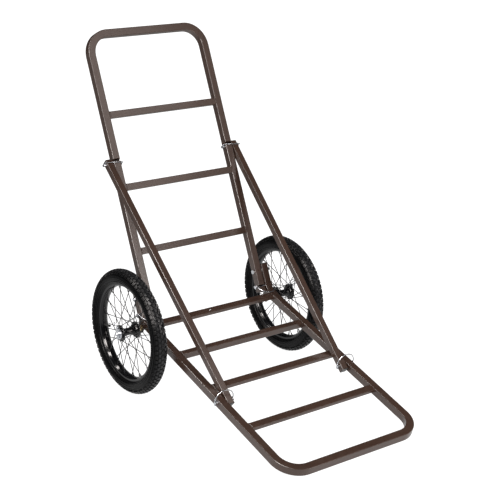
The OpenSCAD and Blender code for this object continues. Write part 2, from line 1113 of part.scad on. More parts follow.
module hub_section() {
    polygon([
        [hub_bore_r, -hub_half + bearing_w], [bearing_r, -hub_half + bearing_w],
        [bearing_r, -hub_half], [hub_end_r, -hub_half],
        [hub_end_r, -flange_at - flange_t / 2], [flange_r, -flange_at - flange_t / 2],
        [flange_r, -flange_at + flange_t / 2], [flange_root_r, -flange_at + flange_t / 2],
        [barrel_r, -flange_at + 4 * flange_t], [barrel_r, flange_at - 4 * flange_t],
        [flange_root_r, flange_at - flange_t / 2], [flange_r, flange_at - flange_t / 2],
        [flange_r, flange_at + flange_t / 2], [hub_end_r, flange_at + flange_t / 2],
        [hub_end_r, hub_half], [bearing_r, hub_half],
        [bearing_r, hub_half - bearing_w], [hub_bore_r, hub_half - bearing_w]]);
}

module hub(side) {
    color(black_metal_colour)
        on_wheel(side)
            rotate_extrude()
                hub_section();
}

module hub_left() {
    hub(-1);
}

module hub_right() {
    hub(1);
}

module bearings(side) {
    color(zinc_colour)
        on_wheel(side)
            for (end = [-1, 1])
                translate([0, 0, end * (hub_half - bearing_w / 2)])
                    difference() {
                        cylinder(h = bearing_w, r = bearing_r, center = true);
                        cylinder(h = bearing_w + cut, r = bearing_bore_r, center = true);
                    }
}

module bearings_left() {
    bearings(-1);
}

module bearings_right() {
    bearings(1);
}

module valve(side) {
    color(rubber_colour)
        on_wheel(side)
            rotate([0, 0, valve_turn])
                translate([rim_well_r, 0, 0])
                    rotate([0, -90, 0]) {
                        translate([0, 0, -valve_root])
                            cylinder(h = valve_len + valve_root, r = valve_r);
                        translate([0, 0, valve_len])
                            cylinder(h = valve_cap_len, r = valve_cap_r);
                    }
}

module valve_left() {
    valve(-1);
}

module valve_right() {
    valve(1);
}

// ---- Parts ----

deck_rail();
deck_rung_1();
deck_rung_2();
deck_rung_3();
deck_rung_4();
rung_rivet();
upright_caps();
axle_hanger_left();
axle_hanger_right();
axle_left();
axle_right();
axle_nuts();
axle_washers();
linch_pins();
linch_ring_left();
linch_ring_right();
pivot_bolts();
pivot_nuts();
pivot_spacers();
lock_pin_base_left();
lock_pin_base_right();
lock_pin_top_left();
lock_pin_top_right();
lock_pin_bottom_left();
lock_pin_bottom_right();
bail_base_left();
bail_base_right();
bail_top_left();
bail_top_right();
bail_bottom_left();
bail_bottom_right();
handle_tube();
handle_rung_1();
handle_rung_2();
handle_rung_3();
leg_caps();
brace_left();
brace_right();
brace_caps_left();
brace_caps_right();
tyre_left();
tyre_right();
inner_tube_left();
inner_tube_right();
rim_left();
rim_right();
spokes_left();
spokes_right();
nipples_left();
nipples_right();
hub_left();
hub_right();
bearings_left();
bearings_right();
valve_left();
valve_right();
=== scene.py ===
"""Looks for the folding game cart: finer tyres, rims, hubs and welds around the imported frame,
procedural materials for every piece, a pale floor, soft lights and the camera."""
import json
import math
import random

import bmesh
import bpy
from mathutils import Matrix, Vector


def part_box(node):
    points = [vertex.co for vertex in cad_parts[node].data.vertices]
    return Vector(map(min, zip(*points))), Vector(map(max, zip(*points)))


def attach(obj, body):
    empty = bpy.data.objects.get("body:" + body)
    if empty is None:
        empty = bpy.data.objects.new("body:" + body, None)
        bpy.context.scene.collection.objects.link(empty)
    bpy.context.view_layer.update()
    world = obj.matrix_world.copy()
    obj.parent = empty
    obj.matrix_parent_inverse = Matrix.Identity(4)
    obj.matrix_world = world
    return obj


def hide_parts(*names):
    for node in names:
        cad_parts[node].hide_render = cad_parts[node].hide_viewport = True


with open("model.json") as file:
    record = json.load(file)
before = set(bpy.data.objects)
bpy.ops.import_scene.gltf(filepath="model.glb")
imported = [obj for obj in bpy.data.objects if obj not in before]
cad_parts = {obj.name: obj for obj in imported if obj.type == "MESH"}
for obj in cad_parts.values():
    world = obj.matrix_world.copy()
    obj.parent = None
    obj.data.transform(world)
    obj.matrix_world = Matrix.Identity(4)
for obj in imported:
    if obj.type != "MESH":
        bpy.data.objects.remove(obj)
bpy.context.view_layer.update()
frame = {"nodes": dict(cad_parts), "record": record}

MM = 0.001
SIDES = {"left": -1, "right": 1}
record = frame["record"]
mounts = {m["name"]: m for m in record["mounts"]}
joints = {j["name"]: j for j in record["behaviour"]["joints"]}
node_slots = {part["node"]: part["material_slot"] for part in record["subparts"]}
rng = random.Random(7)

# Frame tube, as built: side, radius of its long edges, and inner radius of the rear bends
TUBE = 25.4 * MM
TUBE_EDGE = 2.4 * MM
REAR_BEND = 32.3 * MM


# ---- Places taken from the frame ----

def plane_of(mount):
    """(point, outward normal) of one flat mount."""
    return Vector(mounts[mount]["pos_m"]), Vector(mounts[mount]["axis"]).normalized()


def bend_corner():
    """Where the deck's top plane and the handle's front plane meet."""
    deck_point, deck_normal = plane_of("deck_rung_2_top")
    handle_point, handle_normal = plane_of("handle_rung_2_front")
    deck_off = deck_normal.dot(deck_point)
    handle_off = handle_normal.dot(handle_point)
    det = deck_normal.y * handle_normal.z - deck_normal.z * handle_normal.y
    y = (deck_off * handle_normal.z - deck_normal.z * handle_off) / det
    z = (deck_normal.y * handle_off - deck_off * handle_normal.y) / det
    return Vector((0, y, z))


def axes_at(corner, y_axis, z_axis):
    """A frame at the corner with X across the cart."""
    place = Matrix.Identity(4)
    for column, axis in enumerate((Vector((1, 0, 0)), y_axis, z_axis)):
        place.col[column][:3] = axis
    place.translation = corner
    return place


corner = bend_corner()
deck_up = plane_of("deck_rung_2_top")[1]
handle_out = plane_of("handle_rung_2_front")[1]
ACROSS = Vector((1, 0, 0))
# Deck frame: Y back along the deck, Z square to its top. Handle frame: Y to the back, Z up it.
deck_frame = axes_at(corner, deck_up.cross(ACROSS), deck_up)
handle_frame = axes_at(corner, -handle_out, ACROSS.cross(-handle_out))


def middle_and_size(node):
    low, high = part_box(node)
    return (low + high) / 2, high - low


TYRE_RADIUS = middle_and_size("tyre_left")[1].z / 2


# ---- Materials ----

class Recipe:
    """Short calls for the nodes of one material or of the world."""

    def __init__(self, owner, shader="Principled BSDF"):
        owner.use_nodes = True
        self.owner = owner
        self.tree = owner.node_tree
        self.shader = self.tree.nodes[shader]
        self.place = self.tree.nodes.new("ShaderNodeTexCoord").outputs["Object"]

    def feed(self, socket, value):
        if isinstance(value, bpy.types.NodeSocket):
            self.tree.links.new(value, socket)
        else:
            socket.default_value = value

    def add(self, kind, settings=None, **inputs):
        node = self.tree.nodes.new(kind)
        for key, value in (settings or {}).items():
            setattr(node, key, value)
        for key, value in inputs.items():
            self.feed(node.inputs[key.replace("_", " ")], value)
        return node

    def noise(self, scale, detail=3.0, stretch=None, distortion=0.0):
        place = self.place
        if stretch:
            place = self.add("ShaderNodeMapping", Vector=place, Scale=stretch).outputs[0]
        return self.add("ShaderNodeTexNoise", Vector=place, Scale=scale, Detail=detail,
                        Distortion=distortion).outputs[0]

    def cells(self, scale):
        return self.add("ShaderNodeTexVoronoi", Vector=self.place, Scale=scale).outputs["Distance"]

    def span(self, value, low, high, to_low=0.0, to_high=1.0):
        node = self.add("ShaderNodeMapRange", {"clamp": True}, Value=value)
        for socket, number in zip(("From Min", "From Max", "To Min", "To Max"),
                                  (low, high, to_low, to_high)):
            node.inputs[socket].default_value = number
        return node.outputs[0]

    def maths(self, operation, first, second):
        node = self.add("ShaderNodeMath", {"operation": operation})
        self.feed(node.inputs[0], first)
        self.feed(node.inputs[1], second)
        return node.outputs[0]

    def mix(self, factor, first, second):
        node = self.add("ShaderNodeMix", {"data_type": "RGBA"})
        self.feed(node.inputs[0], factor)
        self.feed(node.inputs[6], first)
        self.feed(node.inputs[7], second)
        return node.outputs[2]

    def choose(self, factor, first, second):
        node = self.add("ShaderNodeMix", {"data_type": "FLOAT"})
        self.feed(node.inputs[0], factor)
        self.feed(node.inputs[2], first)
        self.feed(node.inputs[3], second)
        return node.outputs[0]

    def by_ray(self, camera, glossy, diffuse):
        """One strength seen by the camera, one by mirror-like rays and one by diffuse rays."""
        ray = self.add("ShaderNodeLightPath").outputs
        unseen = self.choose(ray["Is Glossy Ray"], diffuse, glossy)
        return self.choose(ray["Is Camera Ray"], unseen, camera)

    def facing_up(self):
        normal = self.add("ShaderNodeNewGeometry").outputs["Normal"]
        return self.add("ShaderNodeSeparateXYZ", Vector=normal).outputs["Z"]

    def bump(self, height, distance, strength=1.0, under=None):
        node = self.add("ShaderNodeBump", Height=height, Distance=distance, Strength=strength)
        if under is not None:
            self.feed(node.inputs["Normal"], under)
        return node.outputs[0]

    def finish(self, **inputs):
        for key, value in inputs.items():
            self.feed(self.shader.inputs[key.replace("_", " ")], value)
        return self.owner


def recipe(name):
    return Recipe(bpy.data.materials.new(name))


def rgb(red, green, blue):
    return (red, green, blue, 1.0)


def powder_coat():
    """Dark brown half-gloss powder coat with orange peel, faint dust and rubbed spots."""
    r = recipe("brown_powder_coat")
    cloud = r.span(r.noise(9, 4), 0.35, 0.65)
    colour = r.mix(cloud, rgb(0.050, 0.0245, 0.0155), rgb(0.060, 0.0300, 0.0195))
    speck = r.span(r.noise(1400, 2), 0.62, 0.70, 0.0, 0.4)
    colour = r.mix(speck, colour, rgb(0.085, 0.050, 0.036))
    dust = r.maths("MULTIPLY", r.span(r.facing_up(), 0.5, 1.0, 0.0, 0.03),
                   r.span(r.noise(40, 5), 0.42, 0.68))
    colour = r.mix(dust, colour, rgb(0.30, 0.26, 0.22))
    rubbed = r.span(r.noise(75, 6), 0.68, 0.76, 0.0, 0.14)
    rough = r.maths("ADD", r.span(r.noise(130, 3), 0.3, 0.7, 0.27, 0.35), rubbed)
    peel = r.bump(r.noise(520, 2), 0.00012, 0.35)
    return r.finish(Base_Color=colour, Roughness=rough, Coat_Weight=0.25, Coat_Roughness=0.10,
                    Normal=r.bump(r.cells(1100), 0.00003, 0.3, peel))


def bright_zinc():
    """Bright zinc plating: drawn streaks, spangle and dull patches."""
    r = recipe("bright_zinc")
    spangle = r.span(r.cells(420), 0.0, 0.8)
    colour = r.mix(spangle, rgb(0.60, 0.61, 0.63), rgb(0.48, 0.50, 0.53))
    stain = r.span(r.noise(90, 5), 0.55, 0.72, 0.0, 0.35)
    colour = r.mix(stain, colour, rgb(0.36, 0.35, 0.33))
    rough = r.span(r.noise(260, 4, (1, 6, 6)), 0.25, 0.75, 0.16, 0.34)
    drawn = r.bump(r.noise(900, 2, (0.15, 1, 1)), 0.00004, 0.4)
    return r.finish(Base_Color=colour, Metallic=1.0, Roughness=rough, Normal=drawn)


def yellow_zinc():
    """Yellow passivated zinc, drifting between straw and faint pink and green."""
    r = recipe("yellow_zinc")
    drift = r.noise(110, 4, None, 0.6)
    colour = r.mix(r.span(drift, 0.35, 0.6), rgb(0.86, 0.72, 0.36), rgb(0.80, 0.62, 0.42))
    colour = r.mix(r.span(drift, 0.58, 0.75), colour, rgb(0.62, 0.70, 0.42))
    rough = r.span(r.noise(300, 4), 0.3, 0.7, 0.25, 0.4)
    return r.finish(Base_Color=colour, Metallic=1.0, Roughness=rough,
                    Normal=r.bump(r.noise(700, 3), 0.00003, 0.4))


def gloss_black():
    """Glossy black enamel on rim and hub with a few dull smears."""
    r = recipe("gloss_black")
    smear = r.span(r.noise(28, 5, None, 0.4), 0.50, 0.72)
    colour = r.mix(smear, rgb(0.004, 0.004, 0.005), rgb(0.010, 0.010, 0.012))
    rough = r.span(smear, 0.0, 1.0, 0.13, 0.24)
    return r.finish(Base_Color=colour, Roughness=rough, Coat_Weight=0.2, Coat_Roughness=0.05,
                    Specular_IOR_Level=0.22,
                    Normal=r.bump(r.noise(160, 2), 0.00006, 0.25))


def spoke_black():
    """Thin black plating on wire, rubbed to a dull sheen."""
    r = recipe("spoke_black")
    rubbed = r.span(r.noise(240, 4), 0.5, 0.75)
    colour = r.mix(rubbed, rgb(0.018, 0.018, 0.020), rgb(0.07, 0.07, 0.075))
    return r.finish(Base_Color=colour, Metallic=0.6, Roughness=r.span(rubbed, 0, 1, 0.30, 0.45),
                    Normal=r.bump(r.noise(1500, 2), 0.00002, 0.4))


def tyre_rubber():
    """Black tyre rubber: fine grain and faint bloom, shinier on the tread, where a painted
    highlight also makes it greyer.
    """
    r = recipe("tyre_rubber")
    from_axle = r.add("ShaderNodeVectorMath", {"operation": "SUBTRACT"}).inputs
    r.feed(from_axle[0], r.place)
    r.feed(from_axle[1], joints["wheel_spin_left"]["pos_m"])
    across = r.add("ShaderNodeSeparateXYZ", Vector=from_axle[0].node.outputs[0]).outputs
    spread = r.add("ShaderNodeCombineXYZ", Y=across["Y"], Z=across["Z"]).outputs[0]
    radius = r.add("ShaderNodeVectorMath", {"operation": "LENGTH"}, Vector=spread).outputs["Value"]
    tread_band = r.span(radius, TYRE_RADIUS - 9 * MM, TYRE_RADIUS - 1 * MM)
    bloom = r.span(r.noise(22, 5), 0.38, 0.70)
    colour = r.mix(bloom, rgb(0.0038, 0.0039, 0.0044), rgb(0.0072, 0.0073, 0.0080))
    # Painted highlight: the tread band is coloured greyer to stand in for the light its blocks
    # catch.
    colour = r.mix(tread_band, colour, rgb(0.0210, 0.0212, 0.0230))
    fleck = r.span(r.noise(600, 3), 0.64, 0.74, 0.0, 0.3)
    colour = r.mix(fleck, colour, rgb(0.030, 0.030, 0.031))
    grain = r.bump(r.cells(1500), 0.00006, 0.35)
    return r.finish(Base_Color=colour, Roughness=r.span(r.noise(180, 4), 0.3, 0.7, 0.22, 0.34),
                    Specular_IOR_Level=r.span(tread_band, 0.0, 1.0, 0.09, 0.30),
                    Normal=r.bump(r.noise(90, 4), 0.0001, 0.2, grain))


def soft_rubber():
    """Black butyl of the inner tube and valve, slightly dusty."""
    r = recipe("soft_rubber")
    talc = r.span(r.noise(70, 5), 0.5, 0.75, 0.0, 0.6)
    colour = r.mix(talc, rgb(0.022, 0.022, 0.023), rgb(0.10, 0.10, 0.10))
    return r.finish(Base_Color=colour, Roughness=r.span(talc, 0, 0.6, 0.45, 0.75),
                    Normal=r.bump(r.noise(900, 3), 0.00006, 0.4))


def moulded_plastic():
    """Black moulded plastic with a spark-eroded grain."""
    r = recipe("moulded_plastic")
    wear = r.span(r.noise(160, 4), 0.5, 0.75)
    colour = r.mix(wear, rgb(0.020, 0.018, 0.017), rgb(0.045, 0.040, 0.038))
    return r.finish(Base_Color=colour, Roughness=r.span(wear, 0, 1, 0.42, 0.58),
                    Normal=r.bump(r.noise(1800, 2), 0.00008, 0.6))


def studio_floor():
    """Pale matt floor. Mirror-like surfaces see it bright near the cart and dark far away."""
    r = recipe("studio_floor")
    colour = r.mix(r.span(r.noise(3, 4), 0.3, 0.7), rgb(0.30, 0.30, 0.30), rgb(0.33, 0.33, 0.33))
    away = r.add("ShaderNodeVectorMath", {"operation": "LENGTH"}, Vector=r.place).outputs["Value"]
    r.owner.cycles.emission_sampling = "NONE"
    return r.finish(Base_Color=colour, Roughness=0.9, Normal=r.bump(r.noise(60, 3), 0.0003, 0.1),
                    Specular_IOR_Level=0.1, Emission_Color=rgb(1.0, 1.0, 1.0),
                    Emission_Strength=r.by_ray(0.95, r.span(away, 0.8, 1.7, 0.68, 0.0), 0.45))


by_slot = {
    "frame_paint": powder_coat(),
    "end_caps": moulded_plastic(),
    "zinc_hardware": bright_zinc(),
    "yellow_zinc": yellow_zinc(),
    "black_wheel_metal": gloss_black(),
    "tyre_rubber": tyre_rubber(),
    "inner_rubber": soft_rubber(),
}
spoke_finish = spoke_black()


# ---- Mesh helpers ----

SHARP_ANGLE = math.radians(32)


def shade(obj):
    """Smooth shading with crisp corners, where large flats keep their own normals."""
    obj.data.shade_smooth()
    obj.data.set_sharp_from_angle(angle=SHARP_ANGLE)
    modifier = obj.modifiers.new("flat_faces_first", "WEIGHTED_NORMAL")
    modifier.keep_sharp = True


def new_piece(name, verts, faces, slot, body, material=None):
    mesh = bpy.data.meshes.new(name)
    mesh.from_pydata([tuple(v) for v in verts], [], faces)
    obj = bpy.data.objects.new(name, mesh)
    bpy.context.scene.collection.objects.link(obj)
    tidy = bmesh.new()
    tidy.from_mesh(mesh)
    bmesh.ops.recalc_face_normals(tidy, faces=tidy.faces)
    tidy.to_mesh(mesh)
    tidy.free()
    mesh.materials.append(material or by_slot[slot])
    shade(obj)
    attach(obj, body)
    return obj


class Shell:
    """Collects vertices and faces of several closed forms for one piece."""

    def __init__(self):
        self.verts = []
        self.faces = []

    def add(self, verts, faces):
        start = len(self.verts)
        self.verts.extend(verts)
        self.faces.extend([tuple(start + i for i in face) for face in faces])


def ring_faces(rows, sides, closed):
    """Quads between consecutive rings of points."""
    faces = []
    last = rows if closed else rows - 1
    for row in range(last):
        for side in range(sides):
            a = row * sides + side
            b = row * sides + (side + 1) % sides
            up = ((row + 1) % rows - row) * sides
            faces.append((a, b, b + up, a + up))
    return faces


def sweep(points, radii, sides=10, flat=1.0, normal=None):
    """A capped tube along points, with its own radius at each one."""
    verts = []
    across = normal or Vector((0, 0, 1))
    for i, (point, radius) in enumerate(zip(points, radii)):
        ahead = points[min(i + 1, len(points) - 1)] - points[max(i - 1, 0)]
        side = ahead.cross(across)
        if side.length < 1e-9:
            side = ahead.orthogonal()
        side.normalize()
        across = side.cross(ahead).normalized()
        for k in range(sides):
            turn = 2 * math.pi * k / sides
            verts.append(point + side * (radius * math.cos(turn))
                         + across * (radius * flat * math.sin(turn)))
    faces = ring_faces(len(points), sides, False)
    faces.append(tuple(range(sides)))
    faces.append(tuple(reversed(range(len(verts) - sides, len(verts)))))
    return verts, faces


def round_off(points, times=2):
    """Cuts the corners of a closed outline."""
    for _ in range(times):
        cut = []
        for i, here in enumerate(points):
            there = points[(i + 1) % len(points)]
            for share in (0.25, 0.75):
                cut.append(tuple(a + (b - a) * share for a, b in zip(here, there)))
        points = cut
    return points


def revolve(section, place, steps):
    """Turns a closed outline of (radius, along) points around the wheel's axle."""
    verts = []
    for step in range(steps):
        turn = 2 * math.pi * step / steps
        verts.extend(place(radius, turn, along) for radius, along in section)
    return verts, ring_faces(steps, len(section), True)


# ---- Carried-over parts ----

def dress_cad_nodes():
    for name, obj in frame["nodes"].items():
        finish = by_slot[node_slots[name]]
        if name.startswith(("spokes", "nipples")):
            finish = spoke_finish
        obj.data.materials.clear()
        obj.data.materials.append(finish)
        shade(obj)


# ---- Wheels ----

# Facets round the axle
WHEEL_STEPS = 144
HUB_STEPS = 72
SHIELD_STEPS = 60
# Tyre section: radius of the casing and, from the same middle, radius to the top of the blocks
CASING_R = 22.6 * MM
BLOCK_TOP = 26.2 * MM
# Rows of tread blocks: turn from the crown in degrees, width, length, height, start as a share
TREAD_ROWS = (
    (0, 8.6, 10.5, 3.9, 0.0),
    (23, 8.0, 10.0, 4.1, 0.5),
    (-23, 8.0, 10.0, 4.1, 0.5),
    (47, 10.0, 13.6, 3.4, 0.0),
    (-47, 10.0, 13.6, 3.4, 0.0),
)
TREAD_STEPS = 76
# Every other block leans one way, the rest the other way
TREAD_SKEW = math.radians(9)
BLOCK_TAPER = 0.86
BLOCK_BEVEL = 0.8 * MM
# Moulded rings on the sidewalls: turn of each from the crown, half width and flank in degrees
RING_TURNS = (72, 92, 108, 122)
RING_HALF = 3.4
RING_FLANK = 1.0
RING_HEIGHT = 2.0 * MM
# How far the casing reaches round from the crown, in degrees, and how thick its wall is
CASING_OPEN = 138
CASING_WALL = 2.8 * MM


class Wheel:
    """Where one wheel is, and its size, as the frame has them."""

    def __init__(self, side_name):
        self.name = side_name
        self.sign = SIDES[side_name]
        self.centre = Vector(joints[f"wheel_spin_{side_name}"]["pos_m"])
        self.radius = middle_and_size(f"tyre_{side_name}")[1].z / 2
        self.rim_radius = middle_and_size(f"rim_{side_name}")[1].z / 2
        self.rim_half = middle_and_size(f"rim_{side_name}")[1].x / 2
        self.hub_half = middle_and_size(f"hub_{side_name}")[1].x / 2
        self.flange_radius = middle_and_size(f"hub_{side_name}")[1].z / 2

    def place(self, radius, turn, along):
        """A point from its radius, its turn about the axle and its distance outwards."""
        return self.centre + Vector((self.sign * along, radius * math.cos(turn),
                                     radius * math.sin(turn)))


def ring_height(turn):
    """How far the moulded rings stand out of the casing at one turn from the crown."""
    off = min(abs(abs(turn) - ring) for ring in RING_TURNS)
    return RING_HEIGHT * min(1.0, max(0.0, (RING_HALF - off) / RING_FLANK))


def casing_turns():
    """Where the casing's outline has points: evenly spread, and at the flanks of every ring."""
    turns = set(range(-CASING_OPEN, CASING_OPEN + 1, 6))
    for ring in RING_TURNS:
        for off in (-RING_HALF, RING_FLANK - RING_HALF, RING_HALF - RING_FLANK, RING_HALF):
            turns |= {ring + off, -ring - off}
    return sorted(turns)


def tyre_outline(wheel):
    """Casing with moulded rings on the sidewalls, down to the beads and back inside."""
    mid = wheel.radius - BLOCK_TOP
    outline = []
    for turn in casing_turns():
        reach = CASING_R + ring_height(turn)
        outline.append((mid + reach * math.cos(math.radians(turn)),
                        reach * math.sin(math.radians(turn))))
    bead_in = wheel.rim_radius - 6 * MM
    bead_side = wheel.rim_half - 2.2 * MM
    outline += [(bead_in, bead_side), (bead_in, bead_side - 3 * MM)]
    inside = CASING_R - CASING_WALL
    for turn in range(CASING_OPEN, -CASING_OPEN - 1, -12):
        outline.append((mid + inside * math.cos(math.radians(turn)),
                        inside * math.sin(math.radians(turn))))
    outline += [(bead_in, 3 * MM - bead_side), (bead_in, -bead_side)]
    return outline


def block_shape(width, length, height):
    """One tread block: a tapered box with bevelled edges, as its vertices and faces."""
    block = bmesh.new()
    bmesh.ops.create_cube(block, size=1.0)
    for v in block.verts:
        v.co.x *= width * (BLOCK_TAPER if v.co.z > 0 else 1.0)
        v.co.y *= length * (BLOCK_TAPER if v.co.z > 0 else 1.0)
        v.co.z *= height
    top_edges = [e for e in block.edges if any(v.co.z > 0 for v in e.verts)]
    bmesh.ops.bevel(block, geom=top_edges, offset=BLOCK_BEVEL, segments=2, affect="EDGES",
                    profile=0.6)
    block.verts.index_update()
    verts = [v.co.copy() for v in block.verts]
    faces = [tuple(v.index for v in f.verts) for f in block.faces]
    block.free()
    return verts, faces


def add_tread(shell, wheel):
    """Sets the rows of blocks around the casing."""
    mid = wheel.radius - BLOCK_TOP
    for lean, width, length, height, start in TREAD_ROWS:
        verts, faces = block_shape(width * MM, length * MM, height * MM)
        lean_turn = math.radians(lean)
        out = BLOCK_TOP - height * MM / 2
        for step in range(TREAD_STEPS):
            turn = 2 * math.pi * (step + start) / TREAD_STEPS
            skew = TREAD_SKEW if step % 2 else -TREAD_SKEW
            placed = []
            for v in verts:
                across = v.x * math.cos(skew) - v.y * math.sin(skew)
                around = v.x * math.sin(skew) + v.y * math.cos(skew)
                reach = out + v.z
                radius = mid + reach * math.cos(lean_turn) - across * math.sin(lean_turn)
                along = reach * math.sin(lean_turn) + across * math.cos(lean_turn)
                placed.append(wheel.place(radius, turn + around / radius, along))
            shell.add(placed, faces)


def build_tyre(wheel):
    shell = Shell()
    shell.add(*revolve(tyre_outline(wheel), wheel.place, WHEEL_STEPS))
    add_tread(shell, wheel)
    tyre = new_piece(f"tyre_detail_{wheel.name}", shell.verts, shell.faces, "tyre_rubber",
                     f"wheel_{wheel.name}")
    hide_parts(f"tyre_{wheel.name}")


def build_rim(wheel):
    """Deep rolled rim: curled lips, bead seats and a rounded well."""
    lip, half, wall = wheel.rim_radius, wheel.rim_half, 2.0 * MM
    seat = lip - 6.5 * MM
    well = lip - 10.5 * MM
    outer = [(lip - 0.5 * MM, half - 2.6 * MM), (seat, half - 2.4 * MM), (seat - 1 * MM, 8 * MM),
             (well, 5.5 * MM), (well, -5.5 * MM), (seat - 1 * MM, -8 * MM),
             (seat, 2.4 * MM - half), (lip - 0.5 * MM, 2.6 * MM - half)]
    curl = [(lip, 1.2 * MM - half), (lip - 0.6 * MM, -half), (lip - 3 * MM, -half)]
    inner = [(seat - wall, 0.6 * MM - half), (seat - 3.6 * MM, -9.5 * MM), (well - wall, -7 * MM),
             (well - wall - 0.8 * MM, -3 * MM), (well - wall - 0.8 * MM, 3 * MM),
             (well - wall, 7 * MM), (seat - 3.6 * MM, 9.5 * MM), (seat - wall, half - 0.6 * MM)]
    back = [(r, -a) for r, a in reversed(curl)]
    section = round_off(outer + curl + inner + back, 2)
    shell = Shell()
    shell.add(*revolve(section, wheel.place, WHEEL_STEPS))
    rim = new_piece(f"rim_detail_{wheel.name}", shell.verts, shell.faces, "black_wheel_metal",
                    f"wheel_{wheel.name}")
    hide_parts(f"rim_{wheel.name}")


# From the end of the hub to the middle of its flange
FLANGE_IN = 5 * MM
SPOKE_R = 1.2 * MM
SPOKE_HEAD_R = 2.1 * MM


def build_hub(wheel):
    """Hub shell with dished flanges, a waisted barrel and a lip around each bearing."""
    half, flange = wheel.hub_half, wheel.flange_radius
    at = half - FLANGE_IN
    side = [(14.0, half / MM), (15.6, half / MM), (16.2, half / MM - 0.8), (16.4, at / MM + 2.6),
            (19.0, at / MM + 1.6), (flange / MM - 1.0, at / MM + 1.5), (flange / MM, at / MM + 0.8),
            (flange / MM, at / MM - 0.8), (flange / MM - 1.0, at / MM - 1.5),
            (20.0, at / MM - 1.7), (16.5, at / MM - 3.5), (13.5, at / MM - 9.0), (12.0, 9.0)]
    outer = [(r * MM, a * MM) for r, a in side]
    mirrored = [(r, -a) for r, a in reversed(outer)]
    bore = [(14.0 * MM, -half + 9 * MM), (8.5 * MM, -half + 10 * MM),
            (8.5 * MM, half - 10 * MM), (14.0 * MM, half - 9 * MM)]
    section = round_off(outer + mirrored + bore, 1)
    shell = Shell()
    shell.add(*revolve(section, wheel.place, HUB_STEPS))
    hub = new_piece(f"hub_detail_{wheel.name}", shell.verts, shell.faces, "black_wheel_metal",
                    f"wheel_{wheel.name}")
    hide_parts(f"hub_{wheel.name}")


def build_bearing_shields(wheel):
    """Pressed shields with a raised ring, at both ends of the hub."""
    shell = Shell()
    for end in (-1, 1):
        face = end * (wheel.hub_half - 0.9 * MM)
        step = end * 0.5 * MM
        section = [(6.3 * MM, face), (7.6 * MM, face + step), (8.4 * MM, face + step),
                   (9.0 * MM, face + 0.2 * step), (12.2 * MM, face + 0.2 * step),
                   (12.9 * MM, face + step), (13.8 * MM, face + step), (13.8 * MM, face - step),
                   (6.3 * MM, face - step)]
        shell.add(*revolve(round_off(section, 1), wheel.place, SHIELD_STEPS))
    new_piece(f"bearing_shields_{wheel.name}", shell.verts, shell.faces, "black_wheel_metal",
              f"wheel_{wheel.name}")


def spoke_ends(wheel):
    """The hub end and the rim end of every spoke: the middles of each solid's two end faces."""
    mesh = frame["nodes"][f"spokes_{wheel.name}"].data
    solids = bmesh.new()
    solids.from_mesh(mesh)
    bmesh.ops.remove_doubles(solids, verts=solids.verts, dist=1e-6)
    left = set(solids.verts)
    ends = []
    while left:
        island, edge = set(), [left.pop()]
        while edge:
            v = edge.pop()
            island.add(v)
            for e in v.link_edges:
                other = e.other_vert(v)
                if other in left:
                    left.discard(other)
                    edge.append(other)
        near = sorted(island, key=lambda v: (v.co - wheel.centre).yz.length)
        tip = sum((v.co for v in near[:len(near) // 2]), Vector()) / (len(near) // 2)
        far = sum((v.co for v in near[len(near) // 2:]), Vector()) / (len(near) - len(near) // 2)
        ends.append((tip, far))
    solids.free()
    return sorted(ends, key=lambda pair: tuple(round(c, 5) for c in pair[0]))


def build_spoke_heads(wheel):
    """Bent ends of the spokes: each passes through its flange and ends in a small head."""
    shell = Shell()
    for tip, far in spoke_ends(wheel):
        along = (tip - wheel.centre).x
        outward = Vector((math.copysign(1, along), 0, 0))
        flange_x = wheel.centre.x + math.copysign(wheel.hub_half - FLANGE_IN, along)
        leave = math.copysign(1, (tip.x - flange_x) * outward.x) * outward
        up_spoke = (far - tip).normalized()
        through = tip - leave * 5.2 * MM
        path = [tip + up_spoke * 1.6 * MM, tip + up_spoke * 0.5 * MM - leave * 0.3 * MM,
                tip - leave * 1.2 * MM, through + leave * 0.8 * MM, through + leave * 0.6 * MM,
                through, through - leave * 0.5 * MM]
        radii = [SPOKE_R] * 4 + [SPOKE_HEAD_R] * 2 + [SPOKE_R]
        shell.add(*sweep(path, radii, 10))
    new_piece(f"spoke_heads_{wheel.name}", shell.verts, shell.faces, "black_wheel_metal",
              f"wheel_{wheel.name}", spoke_finish)


def build_wheels():
    for side_name in SIDES:
        wheel = Wheel(side_name)
        build_tyre(wheel)
        build_rim(wheel)
        build_hub(wheel)
        build_bearing_shields(wheel)
        build_spoke_heads(wheel)


# ---- Welds and bends ----

WELD_R = 1.9 * MM
WELD_RIPPLE = 2.6 * MM
# The edges of a rung's end, in the order that weld_rung goes round them
UNDER, BEHIND, ON_TOP, IN_FRONT = range(4)
WRINKLES = 4
WRINKLE_R = 1.9 * MM
WRINKLE_STEPS = 14


def weld_line(shell, place, start, end, out):
    """A rippled bead from start to end, in the given frame, bulging towards out."""
    a, b = place @ Vector(start), place @ Vector(end)
    normal = (place.to_3x3() @ Vector(out)).normalized()
    length = (b - a).length
    steps = max(8, int(length / (WELD_RIPPLE / 5)))
    points, radii = [], []
    phase = rng.uniform(0, 6)
    for i in range(steps + 1):
        share = i / steps
        wander = 0.25 * MM * math.sin(share * length / (7 * MM) + phase)
        ripple = 0.16 * math.sin(2 * math.pi * share * length / WELD_RIPPLE)
        fade = min(1.0, (min(share, 1 - share) * length / WELD_R + 0.3))
        points.append(a.lerp(b, share) + normal * (wander * 0.4))
        radii.append(WELD_R * (1 + ripple) * fade)
    shell.add(*sweep(points, radii, 8, 0.75, normal))


